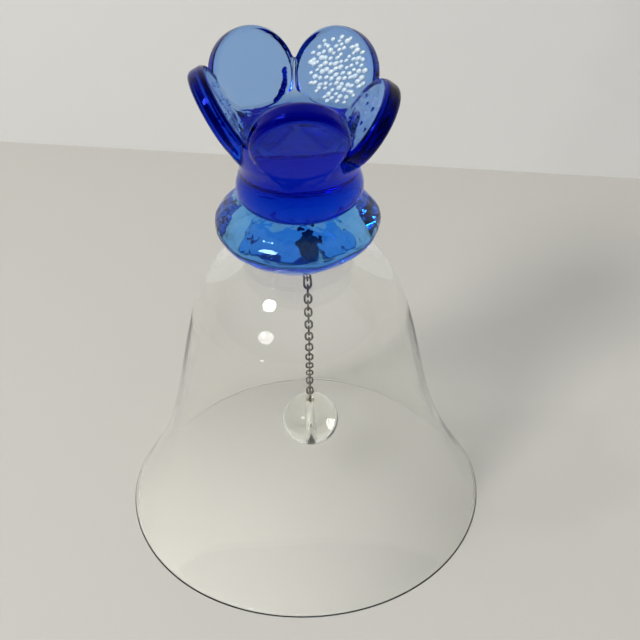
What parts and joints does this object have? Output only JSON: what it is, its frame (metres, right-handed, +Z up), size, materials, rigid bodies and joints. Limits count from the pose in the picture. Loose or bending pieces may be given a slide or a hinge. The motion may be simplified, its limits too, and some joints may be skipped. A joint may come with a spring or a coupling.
{
  "type": "hand bell",
  "caption": "Clear glass hand bell with a flared rim, a blue glass knop and petal crown as its handle, and a glass bead clapper on a fine chain.",
  "frame": {"origin": "centre of the circle that the rim stands on", "axes": "+Z up the bell's axis, from the rim to the crown; -Y is the side with the foremost petal"},
  "size_m": [0.08, 0.08, 0.1095],
  "materials": {
    "clear_glass": "clear, fire-polished",
    "blue_glass": "clear blue, glossy",
    "cobalt_glass": "deep cobalt, glossy",
    "cement": "cured clear-brown glue",
    "chain_metal": "darkened, satin"
  },
  "bodies": {
    "bell": {"bell": "clear_glass", "knop": "blue_glass", "crown": "cobalt_glass", "hanger_cement": "cement", "hanger_eye": "chain_metal"},
    "chain_link_01": {"chain_link_01": "chain_metal"},
    "chain_link_02": {"chain_link_02": "chain_metal"},
    "chain_link_03": {"chain_link_03": "chain_metal"},
    "chain_link_04": {"chain_link_04": "chain_metal"},
    "chain_link_05": {"chain_link_05": "chain_metal"},
    "chain_link_06": {"chain_link_06": "chain_metal"},
    "chain_link_07": {"chain_link_07": "chain_metal"},
    "chain_link_08": {"chain_link_08": "chain_metal"},
    "chain_link_09": {"chain_link_09": "chain_metal"},
    "chain_link_10": {"chain_link_10": "chain_metal"},
    "chain_link_11": {"chain_link_11": "chain_metal"},
    "chain_link_12": {"chain_link_12": "chain_metal"},
    "chain_link_13": {"chain_link_13": "chain_metal"},
    "chain_link_14": {"chain_link_14": "chain_metal"},
    "chain_link_15": {"chain_link_15": "chain_metal"},
    "chain_link_16": {"chain_link_16": "chain_metal"},
    "chain_link_17": {"chain_link_17": "chain_metal"},
    "chain_link_18": {"chain_link_18": "chain_metal"},
    "chain_link_19": {"chain_link_19": "chain_metal"},
    "chain_link_20": {"chain_link_20": "chain_metal"},
    "chain_link_21": {"chain_link_21": "chain_metal"},
    "chain_link_22": {"chain_link_22": "chain_metal"},
    "clapper": {"clapper_pin": "chain_metal", "clapper_cement": "cement", "clapper_bead": "clear_glass"}
  },
  "joints": [
    {"name": "hinge_01", "type": "hinge", "parent": "bell", "child": "chain_link_01", "pos_m": [0.0016, 0, 0.061], "axis": [1, 0, 0], "range_deg": [-30, 30]},
    {"name": "hinge_02", "type": "hinge", "parent": "chain_link_01", "child": "chain_link_02", "pos_m": [0.0016, 0, 0.0596], "axis": [0, 1, 0], "range_deg": [-28, 33]},
    {"name": "hinge_03", "type": "hinge", "parent": "chain_link_02", "child": "chain_link_03", "pos_m": [0.0016, 0, 0.05811], "axis": [-1, 0, 0], "range_deg": [-32, 32]},
    {"name": "hinge_04", "type": "hinge", "parent": "chain_link_03", "child": "chain_link_04", "pos_m": [0.0016, 0, 0.05662], "axis": [0, -1, 0], "range_deg": [-36, 31]},
    {"name": "hinge_05", "type": "hinge", "parent": "chain_link_04", "child": "chain_link_05", "pos_m": [0.0016, 0, 0.05513], "axis": [1, 0, 0], "range_deg": [-35, 35]},
    {"name": "hinge_06", "type": "hinge", "parent": "chain_link_05", "child": "chain_link_06", "pos_m": [0.0016, 0, 0.05364], "axis": [0, 1, 0], "range_deg": [-34, 40]},
    {"name": "hinge_07", "type": "hinge", "parent": "chain_link_06", "child": "chain_link_07", "pos_m": [0.0016, 0, 0.05215], "axis": [-1, 0, 0], "range_deg": [-39, 39]},
    {"name": "hinge_08", "type": "hinge", "parent": "chain_link_07", "child": "chain_link_08", "pos_m": [0.0016, 0, 0.05066], "axis": [0, -1, 0], "range_deg": [-45, 38]},
    {"name": "hinge_09", "type": "hinge", "parent": "chain_link_08", "child": "chain_link_09", "pos_m": [0.0016, 0, 0.04917], "axis": [1, 0, 0], "range_deg": [-43, 43]},
    {"name": "hinge_10", "type": "hinge", "parent": "chain_link_09", "child": "chain_link_10", "pos_m": [0.0016, 0, 0.04768], "axis": [0, 1, 0], "range_deg": [-42, 51]},
    {"name": "hinge_11", "type": "hinge", "parent": "chain_link_10", "child": "chain_link_11", "pos_m": [0.0016, 0, 0.04619], "axis": [-1, 0, 0], "range_deg": [-50, 50]},
    {"name": "hinge_12", "type": "hinge", "parent": "chain_link_11", "child": "chain_link_12", "pos_m": [0.0016, 0, 0.0447], "axis": [0, -1, 0], "range_deg": [-59, 49]},
    {"name": "hinge_13", "type": "hinge", "parent": "chain_link_12", "child": "chain_link_13", "pos_m": [0.0016, 0, 0.04321], "axis": [1, 0, 0], "range_deg": [-58, 58]},
    {"name": "hinge_14", "type": "hinge", "parent": "chain_link_13", "child": "chain_link_14", "pos_m": [0.0016, 0, 0.04172], "axis": [0, 1, 0], "range_deg": [-58, 60]},
    {"name": "hinge_15", "type": "hinge", "parent": "chain_link_14", "child": "chain_link_15", "pos_m": [0.0016, 0, 0.04023], "axis": [-1, 0, 0], "range_deg": [-60, 60]},
    {"name": "hinge_16", "type": "hinge", "parent": "chain_link_15", "child": "chain_link_16", "pos_m": [0.0016, 0, 0.03874], "axis": [0, -1, 0], "range_deg": [-60, 60]},
    {"name": "hinge_17", "type": "hinge", "parent": "chain_link_16", "child": "chain_link_17", "pos_m": [0.0016, 0, 0.03725], "axis": [1, 0, 0], "range_deg": [-60, 60]},
    {"name": "hinge_18", "type": "hinge", "parent": "chain_link_17", "child": "chain_link_18", "pos_m": [0.0016, 0, 0.03576], "axis": [0, 1, 0], "range_deg": [-60, 60]},
    {"name": "hinge_19", "type": "hinge", "parent": "chain_link_18", "child": "chain_link_19", "pos_m": [0.0016, 0, 0.03427], "axis": [-1, 0, 0], "range_deg": [-60, 60]},
    {"name": "hinge_20", "type": "hinge", "parent": "chain_link_19", "child": "chain_link_20", "pos_m": [0.0016, 0, 0.03278], "axis": [0, -1, 0], "range_deg": [-60, 60]},
    {"name": "hinge_21", "type": "hinge", "parent": "chain_link_20", "child": "chain_link_21", "pos_m": [0.0016, 0, 0.03129], "axis": [1, 0, 0], "range_deg": [-60, 60]},
    {"name": "hinge_22", "type": "hinge", "parent": "chain_link_21", "child": "chain_link_22", "pos_m": [0.0016, 0, 0.0298], "axis": [0, 1, 0], "range_deg": [-60, 60]},
    {"name": "hinge_23", "type": "hinge", "parent": "chain_link_22", "child": "clapper", "pos_m": [0.0016, 0, 0.02831], "axis": [-1, 0, 0], "range_deg": [-60, 60]}
  ]
}
